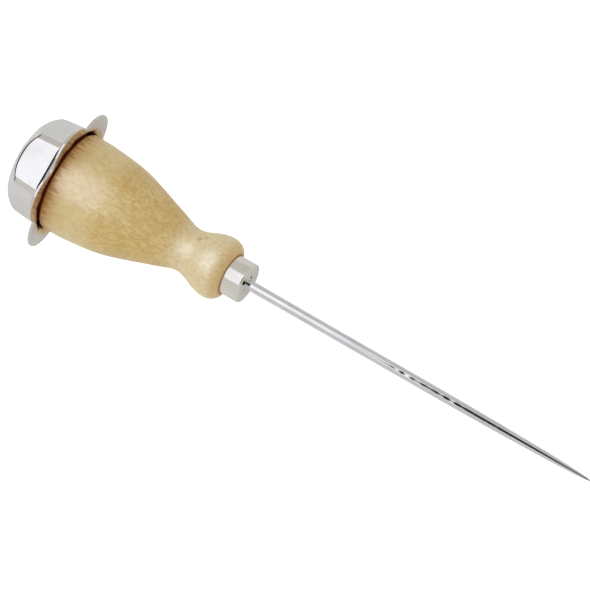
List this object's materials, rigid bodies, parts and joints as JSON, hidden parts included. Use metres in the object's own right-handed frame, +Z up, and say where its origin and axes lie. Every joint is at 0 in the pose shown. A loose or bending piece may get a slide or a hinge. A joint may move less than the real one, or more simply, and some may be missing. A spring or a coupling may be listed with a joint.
{
  "type": "scratch awl",
  "caption": "Long-bladed scratch awl: turned wooden handle with a pressed hexagonal steel butt cap and lobed flange, plated ferrule, round steel blade tapering to a sharp point.",
  "frame": {"origin": "on the tool's axis at the ferrule's front face, where the blade comes out", "axes": "+X along the axis towards the tip; +Z up through a flat of the hexagonal cap; +Y through a corner of the cap and a lobe of its flange"},
  "size_m": [0.2, 0.045, 0.0416],
  "materials": {
    "wood": "clear satin lacquer over pale, fine-grained hardwood",
    "blade_steel": "polished, with fine grinding lines around the taper",
    "satin_plate": "satin nickel plate",
    "bright_plate": "bright nickel plate",
    "epoxy": "cured amber epoxy"
  },
  "bodies": {
    "root": {"handle": "wood", "blade": "blade_steel", "ferrule": "satin_plate", "cap": "bright_plate", "tang_adhesive": "epoxy", "cap_adhesive": "epoxy"}
  },
  "joints": []
}
